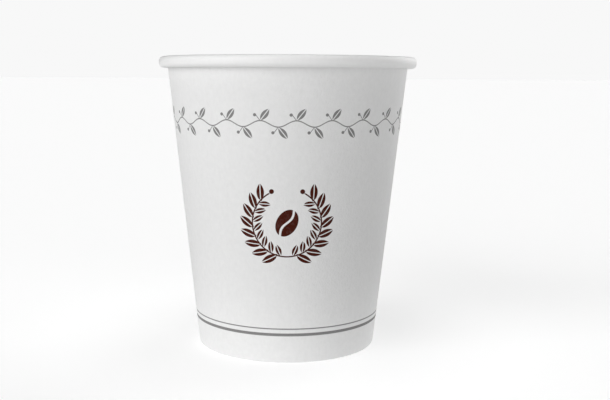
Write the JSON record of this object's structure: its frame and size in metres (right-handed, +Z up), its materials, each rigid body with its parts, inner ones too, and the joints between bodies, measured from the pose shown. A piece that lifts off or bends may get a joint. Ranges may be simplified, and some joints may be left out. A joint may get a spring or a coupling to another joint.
{
  "type": "paper coffee cup",
  "caption": "Single-wall paper hot-drink cup: tapered wall with a rolled rim and lapped side seam, and a recessed base held in a folded hem.",
  "frame": {"origin": "centre of the foot ring, on the surface that the cup stands on", "axes": "+Z up along the cup's axis towards the mouth; +Y towards the side seam at the back, -Y towards the printed front"},
  "size_m": [0.08, 0.08, 0.09],
  "materials": {
    "wall_board": "matte coated white board with a faint fibre grain and simple brown and grey print",
    "base_board": "matte uncoated white board"
  },
  "bodies": {
    "root": {"sidewall": "wall_board", "base": "base_board"}
  },
  "joints": []
}
